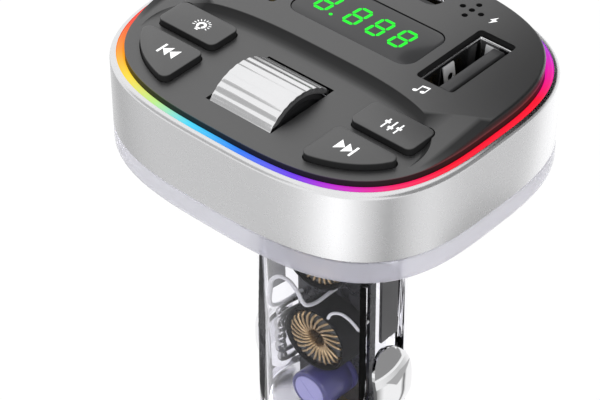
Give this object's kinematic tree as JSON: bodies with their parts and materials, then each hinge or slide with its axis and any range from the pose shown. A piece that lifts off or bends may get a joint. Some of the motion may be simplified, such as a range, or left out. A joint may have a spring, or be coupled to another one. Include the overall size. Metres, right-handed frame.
{
  "type": "car fm transmitter",
  "caption": "Car socket plug with a clear body and a broad oval head: display, keys, fluted volume roller, light ring and charging ports on top.",
  "frame": {"origin": "on the plug's axis, at the underside of the head's flange", "axes": "+Z along the plug's axis up to the keys, +X along the display, +Y away from the keys"},
  "size_m": [0.054, 0.0472, 0.0765],
  "materials": {
    "clear_plastic": "clear polycarbonate, polished",
    "satin_silver": "satin silver plating",
    "glow_plastic": "frosted light guide with a rainbow glow",
    "dark_plastic": "fine moulded dark grey",
    "smoked_lens": "smoked lens over green digits",
    "black_plastic": "black moulding",
    "circuit_board": "dark solder mask",
    "screw_steel": "plain steel",
    "chrome": "polished chrome",
    "turned_silver": "satin turned metal",
    "brass": "plain brass",
    "led_white": "white light chips",
    "ferrite": "dark grey ferrite",
    "copper": "bare copper wire",
    "violet_sleeve": "violet shrink sleeve",
    "white_lead": "white insulation"
  },
  "bodies": {
    "root": {"clear_housing": "clear_plastic", "silver_band": "satin_silver", "light_ring": "glow_plastic", "top_plate": "dark_plastic", "display_lens": "smoked_lens", "display_module": "black_plastic", "panel_board": "circuit_board", "main_board": "circuit_board", "panel_screws": "screw_steel", "main_board_screws": "screw_steel", "board_spacers": "brass", "board_header": "black_plastic", "ring_leds": "led_white", "microphone": "screw_steel", "tactile_switches": "black_plastic", "radio_module": "screw_steel", "roller_bracket": "screw_steel", "rotary_encoder": "black_plastic", "usb_a_shell_left": "chrome", "usb_a_shell_right": "chrome", "usb_a_tongue_left": "black_plastic", "usb_a_tongue_right": "black_plastic", "usb_c_shell": "chrome", "usb_c_tongue": "black_plastic", "stem_board": "circuit_board", "drum_cup_upper": "ferrite", "drum_core_upper": "ferrite", "drum_winding_upper": "copper", "drum_cup_lower": "ferrite", "drum_core_lower": "ferrite", "drum_winding_lower": "copper", "capacitor": "violet_sleeve", "stem_chips": "black_plastic", "lead_upper": "white_lead", "lead_lower": "white_lead", "tinned_leads": "screw_steel", "contact_strip_left": "chrome", "contact_strip_right": "chrome", "nose_ring": "turned_silver", "centre_spring": "screw_steel", "spring_seat": "brass"},
    "roller": {"volume_roller": "turned_silver", "roller_core": "black_plastic", "roller_axle": "screw_steel"},
    "key_light": {"button_light": "dark_plastic", "plunger_light": "brass"},
    "key_eq": {"button_eq": "dark_plastic", "plunger_eq": "brass"},
    "key_prev": {"button_prev": "dark_plastic", "plunger_prev": "brass"},
    "key_next": {"button_next": "dark_plastic", "plunger_next": "brass"},
    "contact_left": {"side_contact_left": "chrome"},
    "contact_right": {"side_contact_right": "chrome"},
    "nose_pin": {"centre_pin": "chrome"}
  },
  "joints": [
    {"name": "roller_turn", "type": "hinge", "parent": "root", "child": "roller", "pos_m": [0, -0.0121, 0.0108], "axis": [1, 0, 0], "continuous": true},
    {"name": "light_press", "type": "slide", "parent": "root", "child": "key_light", "axis": [0, 0, -1], "range_m": [0, 0.0005], "stiffness_N_per_m": 2000, "springref_m": -0.0003},
    {"name": "eq_press", "type": "slide", "parent": "root", "child": "key_eq", "axis": [0, 0, -1], "range_m": [0, 0.0005], "stiffness_N_per_m": 2000, "springref_m": -0.0003},
    {"name": "prev_press", "type": "slide", "parent": "root", "child": "key_prev", "axis": [0, 0, -1], "range_m": [0, 0.0005], "stiffness_N_per_m": 2000, "springref_m": -0.0003},
    {"name": "next_press", "type": "slide", "parent": "root", "child": "key_next", "axis": [0, 0, -1], "range_m": [0, 0.0005], "stiffness_N_per_m": 2000, "springref_m": -0.0003},
    {"name": "contact_left_press", "type": "slide", "parent": "root", "child": "contact_left", "axis": [1, 0, 0], "range_m": [0, 0.0017], "stiffness_N_per_m": 1500, "springref_m": -0.001},
    {"name": "contact_right_press", "type": "slide", "parent": "root", "child": "contact_right", "axis": [-1, 0, 0], "range_m": [0, 0.0017], "stiffness_N_per_m": 1500, "springref_m": -0.001},
    {"name": "nose_pin_press", "type": "slide", "parent": "root", "child": "nose_pin", "axis": [0, 0, 1], "range_m": [0, 0.003], "stiffness_N_per_m": 800, "springref_m": -0.002, "deforming": ["centre_spring"]}
  ]
}
